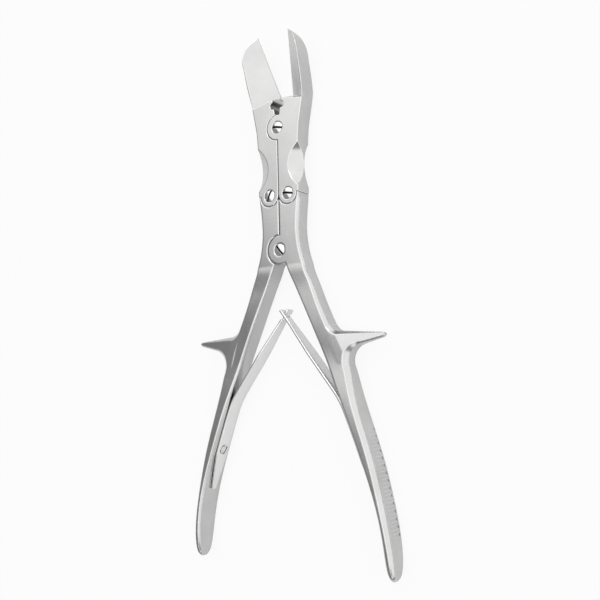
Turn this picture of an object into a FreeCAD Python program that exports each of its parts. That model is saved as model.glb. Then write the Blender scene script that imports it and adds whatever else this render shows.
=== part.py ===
import FreeCAD, Part
import math
import os
import re
import Sketcher

# Bone cutting forceps with a double lever: two blades turn on the jaw screw, two
# handles turn on the handle screw, and each handle drives its blade through a link
# screw. The pieces stand as they lie when the handles are fully open.
# X runs across, Y along the length towards the blades, Z up. The origin is at the
# handle screw, on the flat back of the joint.

driving = {
    # the joint: four half-lapped pivots in one plate
    "joint_thickness": 9.6,
    "lap_gap": 0.1,
    "ring_gap": 0.25,
    "seam_half_gap": 0.2,
    "split_half_gap": 0.15,
    "jaw_pivot_along": 63.25,
    "link_pivot_along": 28.3,
    "link_pivot_across": 5.65,
    "jaw_lug_radius": 6.4,
    "link_lug_radius": 5.4,
    "handle_lug_radius": 7.4,
    "jaw_half_opening": 10.8,
    "lip_drop": 2.7,
    # pivot screws
    "screw_shank_radius": 2.1,
    "screw_head_radius": 3.1,
    "screw_head_depth": 1.9,
    "screw_crown_height": 0.7,
    "screw_crown_slope": 1.3,
    "screw_rim_drop": 0.15,
    "screw_slot_width": 1.1,
    "screw_slot_depth": 1.3,
    "jaw_screw_slot_angle": -11.0,
    "left_link_slot_angle": 65.0,
    "right_link_slot_angle": -9.0,
    "handle_screw_slot_angle": -51.0,
    "screw_run_gap": 0.05,
    "jaw_screw_run_gap": 0.15,
    "screw_thread_gap": 0.03,
    "screw_head_gap": 0.12,
    "screw_end_chamfer": 0.3,
    # blades: the part round the jaw screw and the tail down to the link screw
    "shoulder_along": 15.3,
    "shoulder_half_width": 13.0,
    "jaw_pivot_half_width": 13.2,
    "head_start_half_width": 13.0,
    "waist_start_drop": 8.0,
    "waist_start_half_width": 12.5,
    "waist_end_rise": 2.0,
    "waist_end_half_width": 12.25,
    "waist_radius": 120.0,
    "tail_end_half_width": 12.2,
    # blades: the cutting part beyond the shoulder
    "jaw_tip_along": 50.1,
    "jaw_nose_start_along": 35.0,
    "jaw_nose_start_half_width": 10.7,
    "jaw_nose_radius": 16.4,
    "jaw_side_radius": 110.0,
    "jaw_edge_gap": 0.1,
    "jaw_edge_start_along": 21.2,
    "jaw_edge_start_level": -4.3,
    "jaw_edge_rise_angle": 21.0,
    "jaw_front_facet_angle": 40.0,
    "jaw_back_facet_angle": 24.0,
    "jaw_back_bend_along": 20.0,
    "jaw_back_rise_angle": 16.0,
    "jaw_front_bend_along": 17.5,
    "jaw_front_rise_angle": 15.5,
    "edge_relief_along": 12.0,
    "edge_relief_radius": 1.9,
    "scoop_radius": 20.0,
    "scoop_drop": 19.5,
    "scoop_start_across": 6.4,
    "scoop_tilt_angle": 34.0,
    # handles: the plate that carries the laps
    "plate_upper_half_width": 12.6,
    "plate_upper_along": 24.0,
    "plate_neck_half_width": 11.5,
    "plate_neck_along": 11.0,
    "plate_upper_radius": 120.0,
    "plate_lower_radius": 52.0,
    "crotch_across": 3.2,
    "crotch_along": -6.5,
    # spur behind the trigger finger
    "spur_hollow_across": 46.25,
    "spur_hollow_along": -57.0,
    "spur_hollow_radius": 8.2,
    "spur_lower_angle": 12.5,
    "spur_crook_across": 33.65,
    "spur_crook_along": -36.54,
    "spur_crook_radius": 5.93,
    "spur_crook_angle": 26.0,
    "spur_top_angle": 4.4,
    "spur_top_drop_angle": 5.0,
    "spur_tip_across": 55.7,
    "spur_tip_radius": 1.3,
    "spur_crease_across": 32.8,
    "spur_crease_along": -46.1,
    "spur_crease_angle": 27.0,
    "spur_taper_angle": 9.7,
    # ribbed stretch on the outside of each grip
    "rib_count": 15.0,
    "rib_pitch": 3.5,
    "rib_groove_radius": 1.2,
    "rib_groove_depth": 0.4,
    "rib_half_length": 3.3,
    "rib_level": -0.8,
    "rib_row_radius": 300.0,
    "rib_row_across": 46.6,
    "rib_row_along": -88.8,
    "rib_row_angle": 18.5,
    # leaf springs that hold the handles open
    "leaf_thickness": 1.2,
    "leaf_seat_gap": 0.2,
    "leaf_screw_seat_gap": 0.08,
    "leaf_half_width": 4.2,
    "leaf_tip_half_width": 2.5,
    "leaf_end_half_width": 1.4,
    "leaf_screw_angle": 20.0,
    "leaf_seat_radius": 450.0,
    "leaf_seat_turn": 2.8,
    "leaf_end_turn": 2.8,
    "leaf_bend_radius": 40.0,
    "leaf_free_angle": 38.0,
    "leaf_past_cross": 3.0,
    "leaf_taper_along": -52.0,
    "leaf_end_taper_along": -104.0,
    "tongue_half_width": 1.1,
    "tongue_half_length": 1.4,
    "slot_half_width": 1.5,
    "slot_half_length": 1.6,
    "leaf_screw_shank_radius": 1.3,
    "leaf_screw_head_radius": 2.5,
    "leaf_screw_head_height": 1.1,
    "leaf_screw_crown_height": 0.45,
    "leaf_screw_crown_slope": 0.9,
    "leaf_screw_depth": 3.2,
    "leaf_screw_slot_width": 0.8,
    "leaf_screw_slot_depth": 0.7,
    "leaf_screw_slot_angle": 20.0,
}

# Arm of each handle, from the plate to the end of the grip: how far along, the inner
# and outer sides, half the depth, and the bevels of the outer and inner edges.
armStations = {
    "neck": (-8.0, 3.9, 15.0, 4.8, 1.3, 0.3),
    "shank": (-16.0, 7.3, 17.85, 4.8, 1.45, 0.45),
    "upper": (-25.0, 11.6, 21.6, 4.85, 1.7, 0.6),
    "spur": (-45.0, 20.9, 31.2, 5.1, 2.1, 0.8),
    "below": (-58.5, 26.85, 38.15, 5.1, 2.6, 0.9),
    "wrist": (-69.0, 31.3, 40.7, 6.0, 2.5, 0.9),
    "seat": (-80.0, 35.9, 43.6, 6.7, 2.3, 0.9),
    "screw": (-100.5, 43.8, 50.25, 7.0, 2.2, 0.9),
    "grip": (-122.0, 51.0, 55.6, 7.0, 2.1, 0.9),
    "palm": (-140.0, 54.5, 58.7, 6.5, 1.9, 0.9),
    "heel": (-150.0, 55.3, 59.3, 5.3, 1.6, 0.9),
    "round": (-154.6, 55.8, 58.8, 3.6, 1.1, 0.8),
    "end": (-156.4, 56.6, 57.8, 1.4, 0.4, 0.3),
}
stationSizes = ("along", "inner", "outer", "half_depth", "bevel", "inner_bevel")
for station, figures in armStations.items():
    for sizeName, figure in zip(stationSizes, figures):
        driving["arm_" + station + "_" + sizeName] = figure

doc = FreeCAD.newDocument("BoneCuttingForceps")
sheet = doc.addObject("Spreadsheet::Sheet", "Sizes")
for row, (alias, figure) in enumerate(driving.items(), start=1):
    sheet.set("A" + str(row), alias.replace("_", " "))
    sheet.set("B" + str(row), str(figure))
    sheet.setAlias("B" + str(row), alias)
doc.recompute()


def bound(text):
    """A formula with every size name pointed at the sheet."""
    return re.sub(r"[a-z]+(?:_[a-z]+)+", lambda word: "Sizes." + word.group(), str(text))


def value(text):
    return float(sheet.evalExpression(bound(text)))


# Bodies, sketches and features

def newBody(label):
    body = doc.addObject("PartDesign::Body", label)
    body.Label = label
    return body


def sketchOn(body, name, plane, shift=("0", "0", "0"), turn=("0", "0", "0")):
    """An empty sketch on one of the body's own origin planes.

    shift and turn (yaw, pitch, roll) are formulas in that plane's own axes."""
    sketch = body.newObject("Sketcher::SketchObject", body.Label + "_" + name)
    support = next(item for item in body.Origin.OriginFeatures if item.Role == plane)
    sketch.AttachmentSupport = [(support, "")]
    sketch.MapMode = "FlatFace"
    offset = "placement(vector({}; {}; {}); rotation({}; {}; {}))".format(*shift, *turn)
    sketch.setExpression("AttachmentOffset", bound(offset))
    return sketch


def bindLast(sketch, name, formula):
    sketch.renameConstraint(sketch.ConstraintCount - 1, name)
    if re.search("[a-z]", str(formula)):
        sketch.setExpression("Constraints." + name, bound(formula))


def arcBetween(start, end, radius):
    """Arc of a circle, counter-clockwise from start to end where the radius is positive."""
    chord = end - start
    half = chord.Length / 2
    rise = math.sqrt(max(radius * radius - half * half, 0))
    side = FreeCAD.Vector(-chord.y, chord.x, 0).normalize()
    centre = (start + end) / 2 + side * (rise if radius > 0 else -rise)
    first, last = (start, end) if radius > 0 else (end, start)
    circle = Part.Circle(centre, FreeCAD.Vector(0, 0, 1), abs(radius))
    return Part.ArcOfCircle(circle, circle.parameter(first), circle.parameter(last))


def outline(sketch, corners):
    """A closed outline. Each corner is (x, y), or (x, y, radius) where an arc leads to it."""
    first = sketch.GeometryCount
    places = [FreeCAD.Vector(value(corner[0]), value(corner[1]), 0) for corner in corners]
    ends = []
    for index, corner in enumerate(corners):
        start, end = places[index - 1], places[index]
        if len(corner) == 3:
            sketch.addGeometry(arcBetween(start, end, value(corner[2])))
            ends.append((1, 2) if value(corner[2]) > 0 else (2, 1))
        else:
            sketch.addGeometry(Part.LineSegment(start, end))
            ends.append((1, 2))
    for index, corner in enumerate(corners):
        edge = first + index
        following = (index + 1) % len(corners)
        sketch.addConstraint(Sketcher.Constraint(
            "Coincident", edge, ends[index][1], first + following, ends[following][0]))
        for axis, formula, length in (("X", corner[0], places[index].x), ("Y", corner[1], places[index].y)):
            sketch.addConstraint(Sketcher.Constraint(
                "Distance" + axis, -1, 1, edge, ends[index][1], length))
            bindLast(sketch, "corner" + axis + str(edge), formula)
        if len(corner) == 3:
            sketch.addConstraint(Sketcher.Constraint("Radius", edge, abs(value(corner[2]))))
            bindLast(sketch, "radius" + str(edge), "abs(" + str(corner[2]) + ")")


def rectangle(sketch, left, bottom, right, top):
    outline(sketch, [(left, bottom), (right, bottom), (right, top), (left, top)])


def circle(sketch, across, along, radius):
    edge = sketch.GeometryCount
    centre = FreeCAD.Vector(value(across), value(along), 0)
    sketch.addGeometry(Part.Circle(centre, FreeCAD.Vector(0, 0, 1), value(radius)))
    sketch.addConstraint(Sketcher.Constraint("DistanceX", -1, 1, edge, 3, centre.x))
    bindLast(sketch, "centreX" + str(edge), across)
    sketch.addConstraint(Sketcher.Constraint("DistanceY", -1, 1, edge, 3, centre.y))
    bindLast(sketch, "centreY" + str(edge), along)
    sketch.addConstraint(Sketcher.Constraint("Radius", edge, value(radius)))
    bindLast(sketch, "radius" + str(edge), radius)


def extrude(body, kind, name, sketch, length, side="One side", reverse=False):
    feature = body.newObject("PartDesign::" + kind, body.Label + "_" + name)
    feature.Profile = sketch
    feature.SideType = side
    feature.Reversed = reverse
    feature.setExpression("Length", bound(length) + " * 1")
    sketch.Visibility = False
    return feature


def pad(body, name, sketch, length, side="One side", reverse=False):
    return extrude(body, "Pad", name, sketch, length, side, reverse)


def cut(body, name, sketch, length, side="One side", reverse=False):
    return extrude(body, "Pocket", name, sketch, length, side, reverse)


halfJoint = "joint_thickness / 2"


def padLayer(body, name, front, across, along, radius):
    """A round lug that is one layer of the joint thick."""
    level = "lap_gap / 2" if front else "-lap_gap / 2"
    sketch = sketchOn(body, name + "_outline", "XY_Plane", ("0", "0", level))
    circle(sketch, across, along, radius)
    return pad(body, name, sketch, "joint_thickness / 2 - lap_gap / 2", reverse=not front)


def cutLayer(body, name, front, drawing):
    """Clear one layer of the joint within what drawing puts into the sketch."""
    level = "-lap_gap / 2" if front else "lap_gap / 2"
    sketch = sketchOn(body, name + "_outline", "XY_Plane", ("0", "0", level))
    drawing(sketch)
    return cut(body, name, sketch, "joint_thickness", reverse=front)


def screwHole(body, name, front, across, along, runGap="screw_run_gap"):
    """The front piece has a running bore and a seat for the head, the back one the thread."""
    bore = "screw_shank_radius + " + (runGap if front else "screw_thread_gap")
    sketch = sketchOn(body, name + "_bore_outline", "XY_Plane")
    circle(sketch, across, along, bore)
    cut(body, name + "_bore", sketch, "joint_thickness * 2", "Symmetric")
    if front:
        level = halfJoint + " - screw_head_depth - screw_run_gap"
        seat = sketchOn(body, name + "_seat_outline", "XY_Plane", ("0", "0", level))
        circle(seat, across, along, "screw_head_radius + screw_head_gap")
        cut(body, name + "_seat", seat, "joint_thickness", reverse=True)


def standOnBack(body, along="0", turn=None):
    """Put the joint's back face at Z 0, and the body's origin on its pivot."""
    body.Placement = FreeCAD.Placement(
        FreeCAD.Vector(0, 0, 0), FreeCAD.Rotation(FreeCAD.Vector(0, 0, 1), 1))
    body.setExpression("Placement.Base.y", bound(along) + " * 1")
    body.setExpression("Placement.Base.z", bound(halfJoint))
    body.setExpression("Placement.Rotation.Angle", bound(turn or "0") + " * 1")


# Blades. Each is drawn with its cutting edge along Y, as when the jaws are shut, and its
# tail leans outwards by the half opening. Its origin is the jaw screw.

def makeBlade(label, side, lugInFront):
    body = newBody(label)
    tailDrop = "(jaw_pivot_along - link_pivot_along)"
    lean = f"{side} * jaw_half_opening"

    # tail, with its inner edge on the seam and a waist on its outer side
    tail = sketchOn(body, "tail_outline", "XY_Plane", turn=(lean, "0", "0"))
    bottom = f"-{tailDrop} + split_half_gap"
    outline(tail, [
        (f"{side} * seam_half_gap", "0"),
        (f"{side} * seam_half_gap", bottom),
        (f"{side} * tail_end_half_width", bottom),
        (f"{side} * waist_end_half_width", f"{bottom} + waist_end_rise"),
        (f"{side} * waist_start_half_width", "-waist_start_drop", f"{side} * waist_radius"),
        (f"{side} * jaw_pivot_half_width", "0"),
    ])
    pad(body, "tail", tail, "joint_thickness", "Symmetric")

    # the part between the jaw screw and the shoulder of the blade
    head = sketchOn(body, "head_outline", "XY_Plane")
    outline(head, [
        (f"{side} * jaw_edge_gap", "0"),
        (f"{side} * jaw_edge_gap", "-jaw_lug_radius / 2"),
        (f"{side} * head_start_half_width", "0"),
        (f"{side} * shoulder_half_width", "shoulder_along"),
        (f"{side} * jaw_edge_gap", "shoulder_along"),
    ])
    pad(body, "head", head, "joint_thickness", "Symmetric")

    # round lugs at the jaw screw and at the link screw
    linkAcross = f"({side} * link_pivot_across * cos(jaw_half_opening) + {side} * {tailDrop} * sin(jaw_half_opening))"
    linkAlong = f"(link_pivot_across * sin(jaw_half_opening) - {tailDrop} * cos(jaw_half_opening))"
    padLayer(body, "jaw_lug", lugInFront, "0", "0", "jaw_lug_radius")
    padLayer(body, "link_lug", True, linkAcross, linkAlong, "link_lug_radius")

    # cutting part, first as a bar that bends up towards the tip
    reach = "(jaw_tip_along + 2)"
    bar = sketchOn(body, "jaw_side", "YZ_Plane")
    outline(bar, [
        ("shoulder_along - 1", f"-{halfJoint}"),
        ("jaw_back_bend_along", f"-{halfJoint}"),
        (reach, f"-{halfJoint} + ({reach} - jaw_back_bend_along) * tan(jaw_back_rise_angle)"),
        (reach, f"{halfJoint} + ({reach} - jaw_front_bend_along) * tan(jaw_front_rise_angle)"),
        ("jaw_front_bend_along", halfJoint),
        ("shoulder_along - 1", halfJoint),
    ])
    pad(body, "jaw_bar", bar, "shoulder_half_width + 2", reverse=side < 0)

    # rounded back of the cutting part, seen from the front
    spare = "(shoulder_half_width + 8)"
    nose = sketchOn(body, "jaw_outline", "XY_Plane")
    outline(nose, [
        (f"{side} * shoulder_half_width", "shoulder_along - 2"),
        (f"{side} * {spare}", "shoulder_along - 2"),
        (f"{side} * {spare}", "jaw_tip_along + 6"),
        (f"-{side} * 2", "jaw_tip_along + 6"),
        (f"-{side} * 2", "jaw_tip_along"),
        (f"{side} * jaw_edge_gap", "jaw_tip_along"),
        (f"{side} * jaw_nose_start_half_width", "jaw_nose_start_along", f"-{side} * jaw_nose_radius"),
        (f"{side} * shoulder_half_width", "shoulder_along", f"-{side} * jaw_side_radius"),
    ])
    cut(body, "jaw_back", nose, "joint_thickness * 6", "Symmetric")

    # the ground faces that meet in the cutting edge
    edgePlace = (f"{side} * jaw_edge_gap", "jaw_edge_start_along", "jaw_edge_start_level")
    frontRoll = "atan(tan(jaw_edge_rise_angle) * cos(jaw_front_facet_angle))"
    ground = sketchOn(body, "front_facet_outline", "XY_Plane", edgePlace,
                      ("0", f"-{side} * jaw_front_facet_angle", frontRoll))
    skew = "asin(sin(jaw_front_facet_angle) * sin(jaw_edge_rise_angle))"
    shoulder = "((shoulder_along - jaw_edge_start_along) * cos(jaw_edge_rise_angle) + " \
               f"({halfJoint} - jaw_edge_start_level) * sin(jaw_edge_rise_angle)) / cos({skew})"
    wide = "(shoulder_half_width * 2)"
    outline(ground, [
        (f"-{wide}", f"{shoulder} + {side} * {wide} * tan({skew})"),
        (wide, f"{shoulder} - {side} * {wide} * tan({skew})"),
        (wide, "jaw_tip_along"),
        (f"-{wide}", "jaw_tip_along"),
    ])
    cut(body, "front_facet", ground, "joint_thickness * 3", reverse=True)
    backRoll = "atan(tan(jaw_edge_rise_angle) * cos(jaw_back_facet_angle))"
    hollow = sketchOn(body, "back_facet_outline", "XY_Plane", edgePlace,
                      ("0", f"{side} * jaw_back_facet_angle", backRoll))
    rectangle(hollow, f"-{wide}", "shoulder_along - jaw_edge_start_along", wide, "jaw_tip_along")
    cut(body, "back_facet", hollow, "joint_thickness * 3")

    # round relief at the root of the cutting edges
    relief = sketchOn(body, "edge_relief_outline", "XY_Plane")
    circle(relief, "0", "edge_relief_along", "edge_relief_radius")
    cut(body, "edge_relief", relief, "joint_thickness * 2", "Symmetric")

    # thumb scoops on both faces of the waist
    scoopAlong = "-(scoop_drop * cos(jaw_half_opening))"
    scoopAcross = f"{side} * (scoop_drop * sin(jaw_half_opening) + scoop_start_across * cos(jaw_half_opening))"
    for face, name in ((1, "front_scoop"), (-1, "back_scoop")):
        scoop = sketchOn(body, name + "_outline", "YZ_Plane",
                         (scoopAlong, f"{face} * {halfJoint}", scoopAcross),
                         ("0", lean, f"{side} * {face} * scoop_tilt_angle"))
        circle(scoop, "0", f"{face} * scoop_radius", "scoop_radius")
        cut(body, name, scoop, "shoulder_half_width * 2", reverse=side > 0)

    # laps: the other blade's lug and the handle's lug turn in round recesses
    cutLayer(body, "jaw_lap", not lugInFront,
             lambda sketch: circle(sketch, "0", "0", "jaw_lug_radius + ring_gap"))
    cutLayer(body, "link_lap", False,
             lambda sketch: circle(sketch, linkAcross, linkAlong, "link_lug_radius + ring_gap"))
    lip = sketchOn(body, "link_lip_outline", "XY_Plane", ("0", "0", "lap_gap / 2"), (lean, "0", "0"))
    rectangle(lip, f"{side} * seam_half_gap - 1", f"-{tailDrop} - 1",
              f"{side} * seam_half_gap + 1", f"-{tailDrop} + lip_drop")
    cut(body, "link_lip", lip, "joint_thickness")

    screwHole(body, "jaw_screw", lugInFront, "0", "0", "jaw_screw_run_gap")
    screwHole(body, "link_screw", True, linkAcross, linkAlong)
    standOnBack(body, "jaw_pivot_along", f"-{side} * jaw_half_opening")
    return body


# Handles, drawn as they lie when open. Their origin is the handle screw.

def armSection(body, side, station):
    size = {name: "arm_" + station + "_" + name for name in stationSizes}
    sketch = sketchOn(body, "arm_" + station + "_outline", "XZ_Plane", ("0", "0", "-" + size["along"]))
    inner, outer, depth = size["inner"], size["outer"], size["half_depth"]
    bevel, innerBevel = size["bevel"], size["inner_bevel"]
    outline(sketch, [
        (f"{side} * {inner}", f"-{depth} + {innerBevel}"),
        (f"{side} * ({inner} + {innerBevel})", f"-{depth}"),
        (f"{side} * ({outer} - {bevel})", f"-{depth}"),
        (f"{side} * {outer}", f"-{depth} + {bevel}"),
        (f"{side} * {outer}", f"{depth} - {bevel}"),
        (f"{side} * ({outer} - {bevel})", f"{depth}"),
        (f"{side} * ({inner} + {innerBevel})", f"{depth}"),
        (f"{side} * {inner}", f"{depth} - {innerBevel}"),
    ])
    return sketch


def bevelOuterSide(body, plate, side):
    """Bevel both edges of the plate's outer side, from its neck down to the arm."""
    doc.recompute()
    neck, bottom = value("plate_neck_along"), value("arm_neck_along")
    names = []
    for number, edge in enumerate(plate.Shape.Edges, start=1):
        box = edge.BoundBox
        outerSide = side * edge.CenterOfMass.x > value("plate_neck_half_width") - 0.5
        if outerSide and box.ZLength < 0.01 and abs(box.YMax - neck) < 0.01 and abs(box.YMin - bottom) < 0.01:
            names.append("Edge" + str(number))
    chamfer = body.newObject("PartDesign::Chamfer", body.Label + "_plate_bevel")
    chamfer.Base = (plate, names)
    chamfer.setExpression("Size", bound("arm_neck_bevel") + " * 1")


def addSpur(body, side):
    """Spur that stands out of the arm, with bevels that run on from the arm's own."""
    depth = "arm_spur_half_depth"
    neck = ("(spur_hollow_across - spur_hollow_radius * sin(spur_lower_angle))",
            "(spur_hollow_along + spur_hollow_radius * cos(spur_lower_angle))")
    crook = ("(spur_crook_across - spur_crook_radius * sin(spur_top_angle))",
             "(spur_crook_along - spur_crook_radius * cos(spur_top_angle))")
    root = ("(spur_crook_across - spur_crook_radius * cos(spur_crook_angle))",
            "(spur_crook_along - spur_crook_radius * sin(spur_crook_angle))")
    foot = "(spur_hollow_across - spur_hollow_radius)"
    spur = sketchOn(body, "spur_outline", "XY_Plane")
    outline(spur, [
        (f"{side} * (arm_spur_inner + arm_spur_outer) / 2", root[1]),
        (f"{side} * (arm_below_inner + arm_below_outer) / 2", "arm_below_along"),
        (f"{side} * {foot}", "arm_below_along"),
        (f"{side} * {foot}", "spur_hollow_along"),
        (f"{side} * {neck[0]}", neck[1], f"{side} * -spur_hollow_radius"),
        (f"{side} * spur_tip_across", f"{neck[1]} + (spur_tip_across - {neck[0]}) * tan(spur_lower_angle)"),
        (f"{side} * spur_tip_across", f"{crook[1]} - (spur_tip_across - {crook[0]}) * tan(spur_top_angle)",
         f"{side} * spur_tip_radius"),
        (f"{side} * {crook[0]}", crook[1]),
        (f"{side} * {root[0]}", root[1], f"{side} * -spur_crook_radius"),
    ])
    pad(body, "spur", spur, depth + " * 2", "Symmetric")

    taper = sketchOn(body, "spur_taper_outline", "XZ_Plane",
                     (f"{side} * spur_crease_across", "0", "-spur_crease_along"),
                     ("0", f"{side} * spur_crease_angle", "0"))
    reach = "spur_tip_across"
    for face in (1, -1):
        outline(taper, [
            ("0", f"{face} * {depth}"),
            (f"{side} * {reach}", f"{face} * ({depth} - {reach} * tan(spur_taper_angle))"),
            (f"{side} * {reach}", f"{face} * ({depth} + 3)"),
            ("0", f"{face} * ({depth} + 3)"),
        ])
    cut(body, "spur_taper", taper, "spur_hollow_radius * 4", "Symmetric")

    # bevels: round in the crook and in the hollow, straight from there to the tip
    rounds = (("hollow", "spur_hollow_radius", "arm_below_bevel"), ("crook", "spur_crook_radius", "arm_spur_bevel"))
    for name, radius, bevel in rounds:
        section = sketchOn(body, name + "_bevel_section", "XZ_Plane",
                           (f"{side} * spur_{name}_across", "0", f"-spur_{name}_along"))
        for face in (1, -1):
            outline(section, [
                (f"{radius} - 3", f"{face} * ({depth} - {bevel})"),
                (radius, f"{face} * ({depth} - {bevel})"),
                (f"{radius} + {bevel} + 1", f"{face} * ({depth} + 1)"),
                (f"{radius} - 3", f"{face} * ({depth} + 1)"),
            ])
        groove = body.newObject("PartDesign::Groove", body.Label + "_" + name + "_bevel")
        groove.Profile = section
        groove.ReferenceAxis = (section, ["V_Axis"])
        groove.Angle = 360
        section.Visibility = False
    for name, start, angle, drop, bevel, inwards in (
            ("lower", neck, "spur_lower_angle", "spur_taper_angle", "arm_below_bevel", 1),
            ("top", crook, "-spur_top_angle", "spur_top_drop_angle", "arm_spur_bevel", -1)):
        for face, layer in ((1, "front"), (-1, "back")):
            bevelSketch = sketchOn(body, f"{name}_{layer}_bevel_outline", "YZ_Plane",
                                   (start[1], f"{face} * ({depth} - {bevel})", f"{side} * {start[0]}"),
                                   ("0", f"{side} * {angle}", f"{side} * {face} * {drop}"))
            outline(bevelSketch, [
                ("0", "0"),
                (f"{inwards} * 4", f"{face} * 4"),
                (f"{inwards} * -2", f"{face} * 4"),
                (f"{inwards} * -2", "0"),
            ])
            cut(body, f"{name}_{layer}_bevel", bevelSketch, "spur_tip_across - spur_crook_across + 6",
                reverse=side > 0)


def makeHandle(label, side, lugInFront):
    body = newBody(label)

    # plate with the laps, up to the split line at the link screw
    top = "link_pivot_along - split_half_gap"
    plate = sketchOn(body, "plate_outline", "XY_Plane")
    outline(plate, [
        (f"{side} * seam_half_gap", top),
        (f"{side} * seam_half_gap", "0"),
        (f"{side} * crotch_across", "crotch_along"),
        (f"{side} * arm_neck_inner", "arm_neck_along"),
        (f"{side} * arm_neck_outer", "arm_neck_along"),
        (f"{side} * plate_neck_half_width", "plate_neck_along", f"{side} * -plate_lower_radius"),
        (f"{side} * plate_upper_half_width", "plate_upper_along", f"{side} * -plate_upper_radius"),
        (f"{side} * tail_end_half_width", top),
    ])
    solid = pad(body, "plate", plate, "joint_thickness", "Symmetric")
    bevelOuterSide(body, solid, side)
    padLayer(body, "handle_lug", lugInFront, "0", "0", "handle_lug_radius")
    padLayer(body, "link_lug", False, f"{side} * link_pivot_across", "link_pivot_along", "link_lug_radius")

    # arm and grip, drawn through sections across it
    sections = [armSection(body, side, station) for station in armStations]
    arm = body.newObject("PartDesign::AdditiveLoft", label + "_arm")
    arm.Profile = sections[0]
    arm.Sections = sections[1:]
    arm.Ruled = False
    doc.recompute()

    # spur, thinning towards its tip from a crease beside the arm
    addSpur(body, side)

    # laps of the handle screw and of the link screw
    cutLayer(body, "handle_lap", not lugInFront,
             lambda sketch: circle(sketch, "0", "0", "handle_lug_radius + ring_gap"))
    cutLayer(body, "link_lap", True, lambda sketch: circle(
        sketch, f"{side} * link_pivot_across", "link_pivot_along", "link_lug_radius + ring_gap"))
    cutLayer(body, "link_lip", True, lambda sketch: rectangle(
        sketch, f"{side} * seam_half_gap - 1", "link_pivot_along - lip_drop",
        f"{side} * seam_half_gap + 1", "link_pivot_along + 1"))
    screwHole(body, "handle_screw", lugInFront, "0", "0")
    screwHole(body, "link_screw", False, f"{side} * link_pivot_across", "link_pivot_along")

    # threaded hole for the leaf spring's screw, square to the inner side of the grip
    thread = sketchOn(body, "leaf_screw_outline", "YZ_Plane",
                      ("arm_screw_along", "0", f"{side} * arm_screw_inner"),
                      ("0", f"{side} * leaf_screw_angle", "0"))
    circle(thread, "0", "0", "leaf_screw_shank_radius + screw_thread_gap")
    cut(body, "leaf_screw_hole", thread, "leaf_screw_depth * 2 + 0.6", "Symmetric")

    # ribs across the outside of the grip, in a gently curved row
    ribs = sketchOn(body, "rib_outline", "XY_Plane", (
        f"{side} * (rib_row_across - rib_row_radius * cos(rib_row_angle))",
        "rib_row_along - rib_row_radius * sin(rib_row_angle)", "rib_level"))
    reach = "(rib_row_radius + rib_groove_radius - rib_groove_depth)"
    circle(ribs, f"{side} * {reach} * cos(rib_row_angle)", f"{reach} * sin(rib_row_angle)", "rib_groove_radius")
    groove = cut(body, "rib_groove", ribs, "rib_half_length * 2", "Symmetric")
    doc.recompute()
    row = body.newObject("PartDesign::PolarPattern", label + "_rib_row")
    row.Originals = [groove]
    row.Axis = (ribs, ["N_Axis"])
    row.Reversed = side > 0
    row.setExpression("Occurrences", bound("rib_count"))
    row.setExpression("Angle", bound("(rib_count - 1) * rib_pitch / rib_row_radius * 180 / pi"))
    body.Tip = row
    standOnBack(body)
    return body


# Leaf springs. Each lies on the inside of its grip, is held by one screw and bends away
# to the middle, where the tongue of the left leaf passes through the slot of the right one.

def turned(angle):
    return f"cos({angle})", f"sin({angle})"


def leafRoute():
    """Formulas for the outer surface of the right leaf, from its lower end to its free end."""
    screwCos, screwSin = turned("leaf_screw_angle")
    seat = "leaf_seat_radius"
    startX = f"(arm_screw_inner - leaf_seat_gap * {screwCos})"
    startY = f"(arm_screw_along - leaf_seat_gap * {screwSin})"
    lowCos, lowSin = turned("(leaf_screw_angle - leaf_end_turn)")
    bendCos, bendSin = turned("(leaf_screw_angle + leaf_seat_turn)")
    freeCos, freeSin = turned("leaf_free_angle")
    low = (f"({startX} + {seat} * ({lowCos} - {screwCos}))", f"({startY} + {seat} * ({lowSin} - {screwSin}))")
    bend = (f"({startX} + {seat} * ({bendCos} - {screwCos}))", f"({startY} + {seat} * ({bendSin} - {screwSin}))")
    free = (f"({bend[0]} + leaf_bend_radius * ({freeCos} - {bendCos}))",
            f"({bend[1]} + leaf_bend_radius * ({freeSin} - {bendSin}))")
    length = f"({free[0]} / {freeSin})"
    cross = ("0", f"({free[1]} + {length} * {freeCos})")
    tip = (f"(-leaf_past_cross * {freeSin})", f"({cross[1]} + leaf_past_cross * {freeCos})")
    return low, bend, free, tip, cross


def inward(place, angle):
    """The matching point on the leaf's inner surface."""
    return (f"({place[0]} - leaf_thickness * cos({angle}))", f"({place[1]} - leaf_thickness * sin({angle}))")


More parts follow.
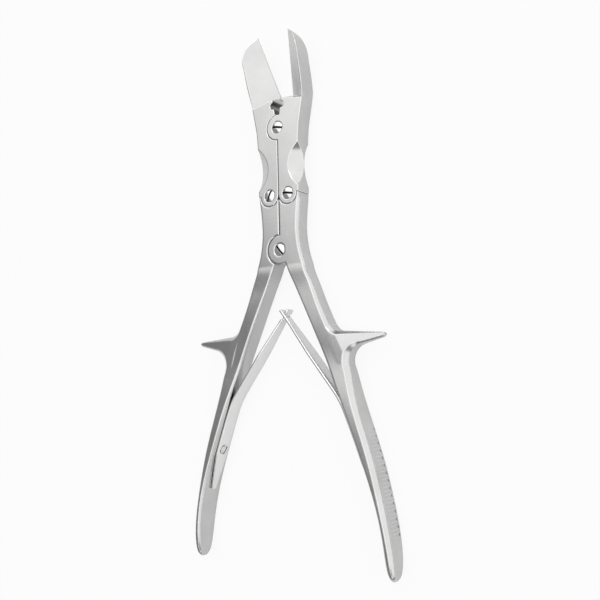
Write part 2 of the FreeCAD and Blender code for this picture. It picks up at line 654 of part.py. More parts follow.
def makeLeaf(label, side):
    body = newBody(label)
    low, bend, free, tip, cross = leafRoute()
    lowAngle = "(leaf_screw_angle - leaf_end_turn)"
    bendAngle = "(leaf_screw_angle + leaf_seat_turn)"
    strip = sketchOn(body, "strip_outline", "XY_Plane")

    def corner(place, radius=None):
        found = (f"{side} * {place[0]}", place[1])
        return found if radius is None else found + (f"{side} * {radius}",)

    outline(strip, [
        corner(low),
        corner(bend, "leaf_seat_radius"),
        corner(free, "leaf_bend_radius"),
        corner(tip),
        corner(inward(tip, "leaf_free_angle")),
        corner(inward(free, "leaf_free_angle")),
        corner(inward(bend, bendAngle), "-(leaf_bend_radius - leaf_thickness)"),
        corner(inward(low, lowAngle), "-(leaf_seat_radius - leaf_thickness)"),
    ])
    pad(body, "strip", strip, "leaf_half_width * 2", "Symmetric")

    # seen from the side the leaf narrows towards both ends
    edge = sketchOn(body, "taper_outline", "YZ_Plane")
    for face in (1, -1):
        outline(edge, [
            ("leaf_taper_along", f"{face} * leaf_half_width"),
            (f"{cross[1]} - 4", f"{face} * leaf_tip_half_width"),
            (f"{cross[1]} + 6", f"{face} * leaf_tip_half_width"),
            (f"{cross[1]} + 6", f"{face} * (leaf_half_width + 1)"),
            ("leaf_taper_along", f"{face} * (leaf_half_width + 1)"),
        ])
        outline(edge, [
            ("leaf_end_taper_along", f"{face} * leaf_half_width"),
            (f"{low[1]} - 1", f"{face} * leaf_end_half_width"),
            (f"{low[1]} - 1", f"{face} * (leaf_half_width + 1)"),
            ("leaf_end_taper_along", f"{face} * (leaf_half_width + 1)"),
        ])
    cut(body, "taper", edge, "arm_end_outer * 3", "Symmetric")

    # the left leaf's tongue and cross bar, the right leaf's slot
    lock = sketchOn(body, "lock_outline", "YZ_Plane")
    middle = f"({cross[1]} - leaf_thickness / 2 / sin(leaf_free_angle))"
    if side < 0:
        for face in (1, -1):
            rectangle(lock, f"{middle} - tongue_half_length", f"{face} * tongue_half_width",
                      f"{middle} + tongue_half_length", f"{face} * (leaf_tip_half_width + 1)")
    else:
        rectangle(lock, f"{middle} - slot_half_length", "-slot_half_width",
                  f"{middle} + slot_half_length", "slot_half_width")
    cut(body, "lock", lock, "arm_neck_outer", "Symmetric")

    hole = sketchOn(body, "screw_outline", "YZ_Plane",
                    ("arm_screw_along", "0", f"{side} * arm_screw_inner"),
                    ("0", f"{side} * leaf_screw_angle", "0"))
    circle(hole, "0", "0", "leaf_screw_shank_radius + screw_thread_gap")
    cut(body, "screw_hole", hole, "leaf_thickness * 6", "Symmetric")
    standOnBack(body)
    return body


# Screws, turned round Z

def makeScrew(label, profile, headRadius, slotWidth, slotLevel, slotAngle):
    body = newBody(label)
    section = sketchOn(body, "section", "XZ_Plane")
    outline(section, profile)
    turn = body.newObject("PartDesign::Revolution", label + "_turn")
    turn.Profile = section
    turn.ReferenceAxis = (section, ["V_Axis"])
    turn.Angle = 360
    doc.recompute()
    slot = sketchOn(body, "slot_outline", "XY_Plane", ("0", "0", slotLevel), (slotAngle, "0", "0"))
    rectangle(slot, f"-{headRadius} * 2", f"-{slotWidth} / 2", f"{headRadius} * 2", f"{slotWidth} / 2")
    cut(body, "slot", slot, f"{headRadius} * 2", reverse=True)
    return body


def makePivotScrew(label, across, along, slotAngle):
    """Slotted screw with a raised head, flush with the back of the joint."""
    headBase = f"({halfJoint} - screw_head_depth)"
    rim = f"({halfJoint} - screw_rim_drop)"
    profile = [
        ("0", f"-{halfJoint}"),
        ("screw_shank_radius - screw_end_chamfer", f"-{halfJoint}"),
        ("screw_shank_radius", f"-{halfJoint} + screw_end_chamfer"),
        ("screw_shank_radius", headBase),
        ("screw_head_radius", headBase),
        ("screw_head_radius", rim),
        ("screw_head_radius - screw_crown_slope", f"{rim} + screw_crown_height"),
        ("0", f"{rim} + screw_crown_height"),
    ]
    body = makeScrew(label, profile, "screw_head_radius", "screw_slot_width",
                     f"{rim} + screw_crown_height - screw_slot_depth", slotAngle)
    standOnBack(body, along)
    body.setExpression("Placement.Base.x", bound(across) + " * 1")
    return body


def makeLeafScrew(label, side):
    seat = "(leaf_thickness + leaf_seat_gap + leaf_screw_seat_gap)"
    profile = [
        ("0", "-leaf_screw_depth"),
        ("leaf_screw_shank_radius", "-leaf_screw_depth"),
        ("leaf_screw_shank_radius", seat),
        ("leaf_screw_head_radius", seat),
        ("leaf_screw_head_radius", f"{seat} + leaf_screw_head_height - leaf_screw_crown_height"),
        ("leaf_screw_head_radius - leaf_screw_crown_slope", f"{seat} + leaf_screw_head_height"),
        ("0", f"{seat} + leaf_screw_head_height"),
    ]
    body = makeScrew(label, profile, "leaf_screw_head_radius", "leaf_screw_slot_width",
                     f"{seat} + leaf_screw_head_height - leaf_screw_slot_depth", "leaf_screw_slot_angle")
    place = f"placement(vector({side} * arm_screw_inner; arm_screw_along; {halfJoint}); " \
            f"rotation({side} * leaf_screw_angle; -{side} * 90; 0))"
    body.setExpression("Placement", bound(place))
    return body


pieces = [
    makeBlade("left_blade", -1, False),
    makeBlade("right_blade", 1, True),
    makeHandle("left_handle", -1, False),
    makeHandle("right_handle", 1, True),
    makeLeaf("left_spring", -1),
    makeLeaf("right_spring", 1),
    makePivotScrew("jaw_pivot_screw", "0", "jaw_pivot_along", "jaw_screw_slot_angle"),
    makePivotScrew("left_link_screw", "-link_pivot_across", "link_pivot_along", "left_link_slot_angle"),
    makePivotScrew("right_link_screw", "link_pivot_across", "link_pivot_along", "right_link_slot_angle"),
    makePivotScrew("handle_pivot_screw", "0", "0", "handle_screw_slot_angle"),
    makeLeafScrew("left_spring_screw", -1),
    makeLeafScrew("right_spring_screw", 1),
]
doc.recompute()

# Every feature is sound and changes its body before anything is written
for item in doc.Objects:
    if "Invalid" in item.State or "Error" in item.State:
        raise RuntimeError(f"{item.Label} did not build: {item.State}")
for piece in pieces:
    shape = piece.Shape
    if shape.isNull() or not shape.isValid() or len(shape.Solids) != 1:
        raise RuntimeError(f"{piece.Label} is not one sound solid")
    before = 0.0
    for feature in piece.Group:
        if not hasattr(feature, "AddSubShape"):
            continue
        if abs(feature.Shape.Volume - before) < 1e-6:
            raise RuntimeError(f"{feature.Label} changes nothing")
        before = feature.Shape.Volume

os.makedirs("parts", exist_ok=True)
for piece in pieces:
    piece.Shape.exportStep("parts/" + piece.Label + ".step")
    box = piece.Shape.BoundBox
    print(f"{piece.Label}: {box.XMin:.2f} {box.YMin:.2f} {box.ZMin:.2f} to "
          f"{box.XMax:.2f} {box.YMax:.2f} {box.ZMax:.2f}, {piece.Shape.Volume:.0f} cubic mm")
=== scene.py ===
import math

import bmesh
import bpy
from mathutils import Matrix, Vector


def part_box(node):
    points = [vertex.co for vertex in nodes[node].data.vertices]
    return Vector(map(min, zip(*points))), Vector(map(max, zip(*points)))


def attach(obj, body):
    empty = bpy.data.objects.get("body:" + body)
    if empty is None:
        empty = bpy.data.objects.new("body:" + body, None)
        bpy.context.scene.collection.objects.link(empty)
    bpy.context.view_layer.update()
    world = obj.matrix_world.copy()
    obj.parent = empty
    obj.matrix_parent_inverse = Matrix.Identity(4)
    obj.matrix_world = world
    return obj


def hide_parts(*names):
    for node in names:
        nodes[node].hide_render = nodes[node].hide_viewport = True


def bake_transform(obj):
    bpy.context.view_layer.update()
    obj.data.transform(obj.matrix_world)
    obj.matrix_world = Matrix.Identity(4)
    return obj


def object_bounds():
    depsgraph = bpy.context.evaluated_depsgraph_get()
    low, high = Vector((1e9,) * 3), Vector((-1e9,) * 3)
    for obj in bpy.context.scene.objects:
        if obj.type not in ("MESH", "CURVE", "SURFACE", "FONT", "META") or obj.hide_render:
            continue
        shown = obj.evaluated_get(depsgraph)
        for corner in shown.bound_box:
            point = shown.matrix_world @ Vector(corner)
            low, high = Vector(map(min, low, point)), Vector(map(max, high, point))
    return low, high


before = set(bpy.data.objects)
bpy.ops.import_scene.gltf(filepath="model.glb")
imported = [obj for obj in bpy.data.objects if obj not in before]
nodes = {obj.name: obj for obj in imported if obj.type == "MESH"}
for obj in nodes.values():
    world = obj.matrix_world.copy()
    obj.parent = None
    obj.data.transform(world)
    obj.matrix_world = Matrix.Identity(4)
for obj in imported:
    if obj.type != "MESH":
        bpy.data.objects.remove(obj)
cadLow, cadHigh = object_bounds()
mm = 0.001
print("frame loaded,", len(nodes), "pieces from the CAD")


# Shader building: Wire is a socket that can stand in a sum, Paint adds the nodes of one material

class Wire:
    def __init__(self, paint, socket):
        self.paint = paint
        self.socket = socket

    def math(self, operation, first, second):
        return self.paint.node("ShaderNodeMath", {"operation": operation}, {0: first, 1: second})

    def __add__(self, other):
        return self.math("ADD", self, other)

    __radd__ = __add__

    def __sub__(self, other):
        return self.math("SUBTRACT", self, other)

    def __rsub__(self, other):
        return self.math("SUBTRACT", other, self)

    def __mul__(self, other):
        return self.math("MULTIPLY", self, other)

    __rmul__ = __mul__

    def __pow__(self, other):
        return self.math("POWER", self, other)

    def output(self, name):
        # another output of the same node
        return Wire(self.paint, self.socket.node.outputs[name])


class Paint:
    def __init__(self, block):
        block.use_nodes = True
        self.block = block
        self.tree = block.node_tree
        self.tree.nodes.clear()

    def node(self, kind, settings=None, values=None, output=0):
        made = self.tree.nodes.new(kind)
        for name, setting in (settings or {}).items():
            setattr(made, name, setting)
        for name, given in (values or {}).items():
            if isinstance(given, Wire):
                self.tree.links.new(given.socket, made.inputs[name])
            else:
                made.inputs[name].default_value = given
        return Wire(self, made.outputs[output]) if made.outputs else None

    def ramp(self, given, low, high, lowShade=0.0, highShade=1.0):
        # smooth step from low to high; lowShade may be the greater one
        return self.node("ShaderNodeMapRange", {"interpolation_type": "SMOOTHSTEP"},
                         {"Value": given, "From Min": low, "From Max": high,
                          "To Min": lowShade, "To Max": highShade})

    def noise(self, place, scale, detail, roughness):
        return self.node("ShaderNodeTexNoise", None,
                         {"Vector": place, "Scale": scale, "Detail": detail, "Roughness": roughness})

    def dot(self, first, second):
        return self.node("ShaderNodeVectorMath", {"operation": "DOT_PRODUCT"}, {0: first, 1: second},
                         "Value")

    def turned(self, place, angle, across, along):
        # coordinates turned about z and drawn out along y, in mm
        return self.node("ShaderNodeMapping", {"vector_type": "TEXTURE"},
                         {"Vector": place, "Rotation": (0, 0, math.radians(angle)),
                          "Scale": (across * mm, along * mm, across * mm)})


# Steel: every finish is the same recipe with its own figures, all lengths in mm

satinFinish = {
    "tone": 0.60,
    "toneSpread": 0.08,
    "toneBlotch": 2.0,               # how much stronger the blotches are than the grain
    "blueTint": 0.995,
    "roughness": 0.15,
    "roughnessSpread": 0.05,
    "roughnessBlotch": 1.6,
    "roundRadius": 1.2,              # how far the shading rolls over an edge
    "roundSamples": 8,
    "edgeRadius": 0.50,              # width of the polished edge, lightened partly as real wear and partly as painted highlight
    "edgeSamples": 6,
    "edgeFrom": 0.01,
    "edgeTo": 0.08,
    "edgeWearHighlightTone": 0.92,
    "edgeSmooth": 0.04,
    "creaseReach": 0.45,             # how far from a corner the steel gets painted shade and turns duller
    "creaseSamples": 8,
    "creaseTo": 0.15,
    "creaseFrom": 0.75,
    "creaseShadeTone": 0.28,
    "creaseShadeShare": 0.55,
    "creaseRough": 0.12,
    "grainAcross": 0.22,
    "grainAlong": 5.0,
    "grainHeight": 0.005,
    "grainNoise": (3.0, 0.6),        # detail and roughness of the noise
    "blotchSize": 14.0,
    "blotchNoise": (3.0, 0.55),
    "speckSize": 0.5,
    "speckNoise": (2.0, 0.6),
    "speckShare": 0.02,
    "speckHeight": 0.6,
    "scratchTurn": 14.0,
    "scratchAcross": 0.12,
    "scratchAlong": 7.0,
    "scratchNoise": (1.0, 0.4),
    "scratchFrom": 0.68,
    "scratchTo": 0.74,
    "scratchShare": 0.4,
    "scratchTone": 0.04,
}

bladeFinish = dict(satinFinish, edgeRadius=0.7, roundRadius=0.7)

brightFinish = dict(satinFinish, tone=0.80, toneSpread=0.03, roughness=0.12, roughnessSpread=0.04,
                    roundRadius=0.12, edgeRadius=0.12, edgeWearHighlightTone=0.88,
                    creaseReach=0.9, creaseFrom=0.95, creaseShadeTone=0.02, creaseShadeShare=1.0,
                    grainAcross=0.12, grainAlong=1.5, grainHeight=0.002, blotchSize=3.0)

springFinish = dict(satinFinish, tone=0.84, toneSpread=0.05, roughness=0.18, roughnessSpread=0.05,
                    roundRadius=0.60, edgeRadius=0.30, edgeWearHighlightTone=0.97, creaseShadeShare=0.25,
                    grainAcross=0.18, grainAlong=9.0, grainHeight=0.003, blotchSize=9.0)

# painted shade down in a slot or a relief: a dark round patch between two levels of the piece's own frame
slotShadePit = {"across": 0.0, "along": 0.0, "reach": 4.0, "fade": 0.5, "lowest": 3.7, "lowestFade": 0.3,
           "bottom": 4.1, "top": 4.6, "tone": 0.03, "rough": 0.25}
leafSlotShadePit = dict(slotShadePit, reach=1.9, lowest=1.55, bottom=2.10, top=2.42)
reliefShadePit = dict(slotShadePit, across=0.3, along=74.9, reach=4.2, lowest=0.1, bottom=8.6, top=9.55, tone=0.16)


def steel(name, finish, grainTurn=0.0, rings=False, shadePit=None):
    paint = Paint(bpy.data.materials.new(name))
    place = paint.node("ShaderNodeTexCoord", output="Object")
    across = paint.node("ShaderNodeSeparateXYZ", None, {"Vector": place})
    along, level = across.output("Y"), across.output("Z")
    if rings:
        # turned pieces: the grain runs round the axis
        radius = (across * across + along * along) ** 0.5
        grainPlace = paint.node("ShaderNodeCombineXYZ", None, {"X": radius, "Y": level, "Z": 0.0})
        grainScale = 1 / (finish["grainAcross"] * mm)
    else:
        grainPlace = paint.turned(place, grainTurn, finish["grainAcross"], finish["grainAlong"])
        grainScale = 1.0
    grain = paint.noise(grainPlace, grainScale, *finish["grainNoise"])
    blotch = paint.noise(place, 1 / (finish["blotchSize"] * mm), *finish["blotchNoise"])
    speck = paint.noise(place, 1 / (finish["speckSize"] * mm), *finish["speckNoise"])
    scratchPlace = paint.turned(place, grainTurn + finish["scratchTurn"],
                                finish["scratchAcross"], finish["scratchAlong"])
    scratch = paint.noise(scratchPlace, 1.0, *finish["scratchNoise"])
    scratch = paint.ramp(scratch, finish["scratchFrom"], finish["scratchTo"]) * finish["scratchShare"]

    # polished edges lightened, partly real wear and partly painted highlight; painted shade in creases, which
    # are duller too
    facing = paint.node("ShaderNodeNewGeometry", output="Normal")
    wearHighlightNormal = paint.node("ShaderNodeBevel", {"samples": finish["edgeSamples"]},
                      {"Radius": finish["edgeRadius"] * mm})
    rounded = paint.node("ShaderNodeBevel", {"samples": finish["roundSamples"]},
                         {"Radius": finish["roundRadius"] * mm})
    edgeWearHighlight = paint.ramp(1.0 - paint.dot(facing, wearHighlightNormal), finish["edgeFrom"], finish["edgeTo"])
    openness = paint.node("ShaderNodeAmbientOcclusion", {"samples": finish["creaseSamples"]},
                          {"Distance": finish["creaseReach"] * mm}, "AO")
    crease = paint.ramp(openness, finish["creaseTo"], finish["creaseFrom"], 1.0, 0.0)

    tone = (finish["tone"] + (blotch - 0.5) * (finish["toneBlotch"] * finish["toneSpread"])
            + (grain - 0.5) * finish["toneSpread"] + (speck - 0.5) * finish["speckShare"]
            + scratch * finish["scratchTone"])
    # painted highlight, partly real wear: edges get a lighter steel colour, except in creases
    tone = tone + edgeWearHighlight * (1.0 - crease) * (finish["edgeWearHighlightTone"] - finish["tone"])
    # painted shade: the steel colour darkens in creases and corners, where ambient occlusion finds them
    tone = tone - crease * (tone - finish["creaseShadeTone"]) * finish["creaseShadeShare"]
    roughness = (finish["roughness"] + (blotch - 0.5) * (finish["roughnessBlotch"] * finish["roughnessSpread"])
                 + (grain - 0.5) * finish["roughnessSpread"] + crease * finish["creaseRough"]
                 - edgeWearHighlight * finish["edgeSmooth"])
    # painted shade: the steel colour darkens down in the slot or relief
    if shadePit:
        away = ((across - shadePit["across"] * mm) ** 2.0 + (along - shadePit["along"] * mm) ** 2.0) ** 0.5
        pitShade = (paint.ramp(level, shadePit["bottom"] * mm, shadePit["top"] * mm, 1.0, 0.0)
                 * paint.ramp(level, shadePit["lowest"] * mm, (shadePit["lowest"] + shadePit["lowestFade"]) * mm)
                 * paint.ramp(away, shadePit["reach"] * mm, (shadePit["reach"] + shadePit["fade"]) * mm, 1.0, 0.0))
        tone = tone - pitShade * (tone - shadePit["tone"])
        roughness = roughness + pitShade * shadePit["rough"]
    colour = paint.node("ShaderNodeCombineColor", None,
                        {"Red": tone, "Green": tone, "Blue": tone * finish["blueTint"]})
    bump = paint.node("ShaderNodeBump", None,
                      {"Strength": 1.0, "Distance": finish["grainHeight"] * mm,
                       "Height": grain + speck * finish["speckHeight"] - scratch, "Normal": rounded})
    shader = paint.node("ShaderNodeBsdfPrincipled", None,
                        {"Base Color": colour, "Metallic": 1.0, "Roughness": roughness, "Normal": bump})
    paint.node("ShaderNodeOutputMaterial", None, {"Surface": shader})
    return paint.block


grainTurns = {"arm": 21.0, "blade": 4.0, "leaf": 34.0}      # degrees, so that the grain follows the piece
satinSteel = {
    "left_handle": steel("satin_steel_left_arm", satinFinish, -grainTurns["arm"]),
    "right_handle": steel("satin_steel_right_arm", satinFinish, grainTurns["arm"]),
    "left_blade": steel("satin_steel_left_blade", bladeFinish, grainTurns["blade"], shadePit=reliefShadePit),
    "right_blade": steel("satin_steel_right_blade", bladeFinish, -grainTurns["blade"], shadePit=reliefShadePit),
}
screwSteel = steel("bright_screw_steel", brightFinish, rings=True, shadePit=slotShadePit)
leafScrewSteel = steel("bright_leaf_screw_steel", brightFinish, rings=True, shadePit=leafSlotShadePit)
springSteel = {
    -1: steel("left_spring_steel", springFinish, -grainTurns["leaf"]),
    1: steel("right_spring_steel", springFinish, grainTurns["leaf"]),
}

for name, material in satinSteel.items():
    for holder in nodes[name].material_slots:
        holder.material = material
print("steel finishes on the blades and handles")


def addPiece(name, work, material, replaced):
    mesh = bpy.data.meshes.new(name)
    work.normal_update()
    work.to_mesh(mesh)
    work.free()
    made = bpy.data.objects.new(name, mesh)
    bpy.context.scene.collection.objects.link(made)
    mesh.materials.append(material)
    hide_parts(replaced)
    return made


softening = {"steps": 2, "smoothAngle": 40.0}


def soften(made, width, angle):
    # rounds the edges sharper than the angle, then makes the modifiers' result the piece's own mesh
    soft = made.modifiers.new("soft", "BEVEL")
    soft.width = width * mm
    soft.segments = softening["steps"]
    soft.limit_method = "ANGLE"
    soft.angle_limit = math.radians(angle)
    bpy.context.view_layer.update()
    shown = made.evaluated_get(bpy.context.evaluated_depsgraph_get())
    made.data = bpy.data.meshes.new_from_object(shown)
    made.modifiers.clear()
    for face in made.data.polygons:
        face.use_smooth = True
    made.data.set_sharp_from_angle(angle=math.radians(softening["smoothAngle"]))


# Screws: turned heads with a domed top, cut by the driver slot

screwCommon = {
    "turnSteps": 72,
    "domeSteps": 7,
    "cutterHeight": 3.0,
    "edgeWidth": 0.07,       # softening of the head's edges
    "edgeAngle": 35.0,
}

pivotScrew = dict(screwCommon, shankRadius=1.9, headRadius=3.1, headDepth=1.0, rimDrop=0.15, domeHeight=0.7,
                  endChamfer=0.3, slotWidth=1.1, slotDepth=1.3, halfJoint=4.8)

leafScrew = dict(screwCommon, shankRadius=1.3, headRadius=2.5, depth=3.2, seat=1.48, headHeight=1.1,
                 domeShare=0.4, slotWidth=0.8, slotDepth=0.7, slotTurn=65.0)

# each pivot screw's body and the turn of its slot
pivotScrews = {
    "jaw_pivot_screw": ("left_jaw", -11.0),
    "left_link_screw": ("left_lever", 65.0),
    "right_link_screw": ("right_lever", -9.0),
    "handle_pivot_screw": ("left_lever", -51.0),
}


def lathe(profile, steps):
    # a closed turned solid from its half section, listed from the low end of the axis up
    work = bmesh.new()
    rows = []
    for radius, level in profile:
        if radius == 0:
            rows.append([work.verts.new((0, 0, level * mm))])
            continue
        rows.append([work.verts.new((radius * mm * math.cos(turn), radius * mm * math.sin(turn), level * mm))
                     for turn in (2 * math.pi * step / steps for step in range(steps))])
    for lower, upper in zip(rows, rows[1:]):
        for step in range(steps):
            after = (step + 1) % steps
            corners = [lower[step % len(lower)], lower[after % len(lower)],
                       upper[after % len(upper)], upper[step % len(upper)]]
            work.faces.new(list(dict.fromkeys(corners)))
    return work


def dome(radius, base, height, steps):
    # the half section of a ball's cap, from above its rim to the top
    ball = (radius * radius + height * height) / (2 * height)
    found = []
    for step in range(1, steps + 1):
        out = radius * (1 - step / steps)
        found.append((out, base + math.sqrt(ball * ball - out * out) - (ball - height)))
    return found


def cutSlot(made, size, top, turn):
    # the driver slot, right across the head
    length, height = 4 * size["headRadius"], size["cutterHeight"]
    middle = top - size["slotDepth"] + height / 2
    cutter = bmesh.new()
    bmesh.ops.create_cube(cutter, size=1.0)
    bmesh.ops.scale(cutter, verts=cutter.verts, vec=Vector((length, size["slotWidth"], height)) * mm)
    bmesh.ops.translate(cutter, verts=cutter.verts, vec=Vector((0, 0, middle * mm)))
    bmesh.ops.rotate(cutter, verts=cutter.verts, matrix=Matrix.Rotation(math.radians(turn), 3, "Z"))
    mesh = bpy.data.meshes.new("slot")
    cutter.to_mesh(mesh)
    cutter.free()
    tool = bpy.data.objects.new("slot", mesh)
    bpy.context.scene.collection.objects.link(tool)
    cut = made.modifiers.new("slot", "BOOLEAN")
    cut.operation = "DIFFERENCE"
    cut.solver = "EXACT"
    cut.object = tool
    soften(made, size["edgeWidth"], size["edgeAngle"])
    bpy.data.objects.remove(tool)


def addPivotScrew(name, body, turn):
    size = pivotScrew
    half, shank, head = size["halfJoint"], size["shankRadius"], size["headRadius"]
    rim = half - size["rimDrop"]
    profile = [(0, -half), (shank - size["endChamfer"], -half), (shank, -half + size["endChamfer"]),
               (shank, half - size["headDepth"]), (head, half - size["headDepth"]), (head, rim)]
    profile += dome(head, rim, size["domeHeight"], size["domeSteps"])
    work = lathe(profile, size["turnSteps"])
    made = addPiece(name + "_turned", work, screwSteel, name)
    cutSlot(made, size, rim + size["domeHeight"], turn)
    low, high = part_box(name)
    made.location = ((low.x + high.x) / 2, (low.y + high.y) / 2, half * mm)
    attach(made, body)


def addLeafScrew(name, body, side):
    size = leafScrew
    seat, head, shank = size["seat"], size["headRadius"], size["shankRadius"]
    top = seat + size["headHeight"]
    crown = size["headHeight"] * size["domeShare"]
    profile = [(0, -size["depth"]), (shank, -size["depth"]), (shank, seat), (head, seat), (head, top - crown)]
    profile += dome(head, top - crown, crown, size["domeSteps"])
    work = lathe(profile, size["turnSteps"])
    made = addPiece(name + "_turned", work, leafScrewSteel, name)
    cutSlot(made, size, top, size["slotTurn"])
    # square on the leaf, with the head on its inner side, between the handles
    lean = math.radians(springLeaf["screwTurn"])
    axis = Vector((-side * math.cos(lean), -math.sin(lean), 0))
    first = Vector((0, 0, side))
    turn = Matrix((first, axis.cross(first), axis)).transposed().to_4x4()
    place = Vector((side * springLeaf["screwAcross"], springLeaf["screwAlong"], pivotScrew["halfJoint"])) * mm
    made.matrix_world = Matrix.Translation(place) @ turn
    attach(made, body)


# Leaf springs: each is a thin sheet along its bent route, given its thickness

springLeaf = {
    "thickness": 1.2,
    "halfWidth": 4.2,
    "tipHalfWidth": 2.5,
    "endHalfWidth": 1.4,
    "seatGap": 0.2,
    "screwAcross": 43.8,
    "screwAlong": -100.5,
    "screwTurn": 20.0,
    "seatRadius": 450.0,
    "seatTurn": 2.8,
    "bendRadius": 40.0,
    "freeTurn": 38.0,
    "pastCross": 3.0,
    "taperAlong": -52.0,        # the leaf narrows from here to tipBefore short of the crossing
    "tipBefore": 4.0,
    "endTaperAlong": -104.0,
    "tongueHalfWidth": 1.1,
    "tongueHalfLength": 1.4,
    "slotHalfWidth": 1.5,
    "slotHalfLength": 1.6,
    "innerShare": 0.7,          # tongue and slot are never wider than this share of the leaf
    "seatSteps": 14,
    "bendSteps": 8,
    "freeSteps": 36,
    "edgeWidth": 0.16,
    "edgeAngle": 45.0,
}


def leafRoute(size):
    # stations on the outer surface of the right leaf: across, along and the angle of its face
    def arc(start, radius, first, last, steps):
        for step in range(steps + 1):
            angle = first + (last - first) * step / steps
            yield (start[0] + radius * (math.cos(math.radians(angle)) - math.cos(math.radians(first))),
                   start[1] + radius * (math.sin(math.radians(angle)) - math.sin(math.radians(first))), angle)

    middle, turn = size["screwTurn"], size["seatTurn"]
    lean = math.radians(middle)
    start = (size["screwAcross"] - size["seatGap"] * math.cos(lean),
             size["screwAlong"] - size["seatGap"] * math.sin(lean))
    lower = list(arc(start, size["seatRadius"], middle, middle - turn, size["seatSteps"]))[::-1]
    upper = list(arc(start, size["seatRadius"], middle, middle + turn, size["seatSteps"]))[1:]
    bend = list(arc(upper[-1], size["bendRadius"], middle + turn, size["freeTurn"], size["bendSteps"]))[1:]
    free = bend[-1]
    tilt = math.radians(size["freeTurn"])
    reach = free[0] / math.sin(tilt) + size["pastCross"]
    cross = free[1] + (reach - size["pastCross"]) * math.cos(tilt)
    lock = cross - size["thickness"] / 2 / math.sin(tilt)
    marks = {lock - size["slotHalfLength"], lock + size["slotHalfLength"],
             lock - size["tongueHalfLength"], lock + size["tongueHalfLength"]}
    steps = size["freeSteps"]
    alongs = sorted({free[1] + reach * math.cos(tilt) * step / steps for step in range(1, steps + 1)} | marks)
    straight = [(free[0] - (along - free[1]) * math.tan(tilt), along, size["freeTurn"]) for along in alongs]
    return lower + upper + bend + straight, free, cross, lock


def leafHalfWidth(size, along, cross, lowest):
    if along < size["endTaperAlong"]:
        share = (along - lowest) / (size["endTaperAlong"] - lowest)
        return size["endHalfWidth"] + (size["halfWidth"] - size["endHalfWidth"]) * share
    if along < size["taperAlong"]:
        return size["halfWidth"]
    share = min(1.0, (along - size["taperAlong"]) / (cross - size["tipBefore"] - size["taperAlong"]))
    return size["halfWidth"] + (size["tipHalfWidth"] - size["halfWidth"]) * share


def addLeaf(name, side, body, screwName):
    size = springLeaf
    route, free, cross, lock = leafRoute(size)
    lowest = route[0][1]
    work = bmesh.new()
    rows = []
    for across, along, angle in route:
        lean = math.radians(angle)
        centre = Vector((side * (across - size["thickness"] / 2 * math.cos(lean)),
                         along - size["thickness"] / 2 * math.sin(lean), 0)) * mm
        width = leafHalfWidth(size, along, cross, lowest)
        inner = size["slotHalfWidth"] if side > 0 else size["tongueHalfWidth"]
        inner = min(inner, width * size["innerShare"])
        levels = (-width, -inner, 0, inner, width)
        rows.append((along, [work.verts.new(centre + Vector((0, 0, pivotScrew["halfJoint"] + level)) * mm)
                             for level in levels]))
    for (alongLow, lower), (alongHigh, upper) in zip(rows, rows[1:]):
        middle = (alongLow + alongHigh) / 2
        for strip in range(4):
            inside = strip in (1, 2)
            if side > 0 and inside and abs(middle - lock) < size["slotHalfLength"]:
                continue        # the right leaf's slot
            if side < 0 and not inside and abs(middle - lock) < size["tongueHalfLength"]:
                continue        # beside the left leaf's tongue
            work.faces.new((lower[strip], lower[strip + 1], upper[strip + 1], upper[strip]))
    loose = [vert for vert in work.verts if not vert.link_faces]
    bmesh.ops.delete(work, geom=loose, context="VERTS")
    made = addPiece(name + "_leaf", work, springSteel[side], name)
    thick = made.modifiers.new("thick", "SOLIDIFY")
    thick.thickness = size["thickness"] * mm
    thick.offset = 0
    soften(made, size["edgeWidth"], size["edgeAngle"])
    leaving = Vector((side * free[0], free[1], pivotScrew["halfJoint"])) * mm
    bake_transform(made)
    addLeafScrew(screwName, body, side)


for name, (body, turn) in pivotScrews.items():
    addPivotScrew(name, body, turn)
print("pivot screws turned and slotted")

addLeaf("left_spring", -1, "left_lever", "left_spring_screw")
addLeaf("right_spring", 1, "right_lever", "right_spring_screw")
print("leaf springs bent and locked")


# Camera at the photograph's viewing angle

cameraPlace = {
    "eye": (237.575, -65.561, 331.874),       # mm
    "target": (8.555, -25.764, 4.8),
    "roll": -1.32,
    "lens": 48.26,
    "sensor": 36.0,
    "nearest": 0.01,                          # m
}


def addCamera():
    eye, target = Vector(cameraPlace["eye"]) * mm, Vector(cameraPlace["target"]) * mm
    back = (eye - target).normalized()
    right = Vector((0, 1, 0)).cross(back).normalized()
    up = back.cross(right)
    turn = Matrix((right, up, back)).transposed() @ Matrix.Rotation(math.radians(cameraPlace["roll"]), 3, "Z")
    data = bpy.data.cameras.new("camera")
    data.lens = cameraPlace["lens"]
    data.sensor_width = cameraPlace["sensor"]
    data.clip_start = cameraPlace["nearest"]
    made = bpy.data.objects.new("camera", data)
    made.matrix_world = Matrix.Translation(eye) @ turn.to_4x4()
    bpy.context.scene.collection.objects.link(made)
    bpy.context.scene.camera = made


addCamera()


# Floor, world and lamp

# size in m, gap in mm; the floor shows white to the camera, and its own tone keeps the shadow
floorLook = {"size": 6.0, "tone": 0.72, "cameraWhite": 0.90, "glossyWhite": 0.38, "gap": 0.05}


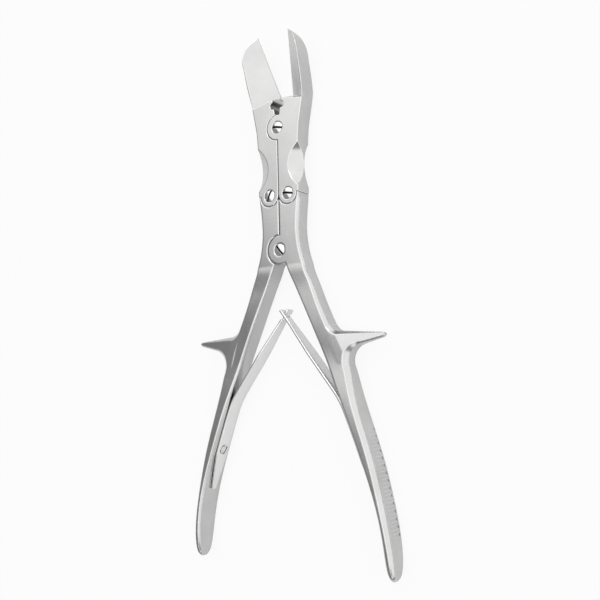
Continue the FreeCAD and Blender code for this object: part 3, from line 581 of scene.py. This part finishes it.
def addFloor():
    paint = Paint(bpy.data.materials.new("pale_floor"))
    ray = paint.node("ShaderNodeLightPath")
    seen = ray.output("Is Camera Ray") * floorLook["cameraWhite"]
    mirrored = (ray.output("Is Glossy Ray") + ray.output("Is Transmission Ray")) * floorLook["glossyWhite"]
    tone = floorLook["tone"]
    matt = paint.node("ShaderNodeBsdfDiffuse", None, {"Color": (tone, tone, tone, 1)})
    white = paint.node("ShaderNodeEmission", None, {"Color": (1, 1, 1, 1), "Strength": 1.0})
    mixed = paint.node("ShaderNodeMixShader", None, {0: seen + mirrored, 1: matt, 2: white})
    paint.node("ShaderNodeOutputMaterial", None, {"Surface": mixed})
    half = floorLook["size"] / 2
    level = cadLow.z - floorLook["gap"] * mm
    mesh = bpy.data.meshes.new("floor")
    mesh.from_pydata([(-half, -half, level), (half, -half, level), (half, half, level), (-half, half, level)],
                     [], [(0, 1, 2, 3)])
    mesh.materials.append(paint.block)
    made = bpy.data.objects.new("floor", mesh)
    bpy.context.scene.collection.objects.link(made)


addFloor()

# a pale room with one dim side whose soft border shows along the arms, one dark patch and a dark horizon
worldLook = {
    "towards": (0.89, 0.45, 0.0),
    "dim": 0.22,
    "middle": 0.84,
    "bright": 1.31,
    "borderFrom": -0.487,
    "borderTo": -0.452,
    "brightFrom": -0.33,
    "shadeTowards": (0.40, -0.68, 0.60),
    "shadeFrom": 0.94,
    "shadeTo": 0.985,
    "shade": 1.05,
    "horizon": 0.04,
    "horizonTo": 0.09,
    "skyFrom": 0.27,
    "glossyWhite": 0.10,
}


def addWorld():
    made = bpy.data.worlds.new("studio")
    bpy.context.scene.world = made
    paint = Paint(made)
    look = worldLook
    place = paint.node("ShaderNodeTexCoord", output="Generated")
    facing = paint.dot(place, Vector(look["towards"]).normalized())
    tone = (paint.ramp(facing, look["borderFrom"], look["borderTo"], look["dim"], look["middle"])
            + paint.ramp(facing, look["borderTo"], look["brightFrom"], 0.0, look["bright"] - look["middle"]))
    nearShade = paint.dot(place, Vector(look["shadeTowards"]).normalized())
    tone = tone - paint.ramp(nearShade, look["shadeFrom"], look["shadeTo"], 0.0, look["shade"])
    level = paint.node("ShaderNodeSeparateXYZ", None, {"Vector": place}).output("Z")
    height = paint.node("ShaderNodeMath", {"operation": "ABSOLUTE"}, {0: level})
    tone = look["horizon"] + (tone - look["horizon"]) * paint.ramp(height, look["horizonTo"], look["skyFrom"])
    colour = paint.node("ShaderNodeCombineColor", None, {"Red": tone, "Green": tone, "Blue": tone})
    studio = paint.node("ShaderNodeBackground", None, {"Color": colour, "Strength": 1.0})
    white = paint.node("ShaderNodeBackground", None, {"Color": (1, 1, 1, 1), "Strength": 1.0})
    ray = paint.node("ShaderNodeLightPath")
    mirrored = (ray.output("Is Glossy Ray") + ray.output("Is Transmission Ray")) * look["glossyWhite"]
    seen = ray.output("Is Camera Ray") + mirrored
    mixed = paint.node("ShaderNodeMixShader", None, {0: seen, 1: studio, 2: white})
    paint.node("ShaderNodeOutputWorld", None, {"Surface": mixed})


addWorld()

# place, target and size in m
highLamp = {"place": (0.25, 0.75, 0.90), "target": (0.0, -0.02, 0.0), "size": 0.36, "radiance": 3.0}


def addLamp(name, look):
    data = bpy.data.lights.new(name, "AREA")
    data.shape = "DISK"
    data.size = look["size"]
    data.energy = look["radiance"] * math.pi * math.pi * look["size"] ** 2 / 4
    made = bpy.data.objects.new(name, data)
    place = Vector(look["place"])
    made.location = place
    made.rotation_mode = "QUATERNION"
    made.rotation_quaternion = (place - Vector(look["target"])).to_track_quat("Z", "Y")
    bpy.context.scene.collection.objects.link(made)


addLamp("high_lamp", highLamp)

bpy.context.scene.view_settings.view_transform = "Standard"
print("camera, floor, world and lamp placed")
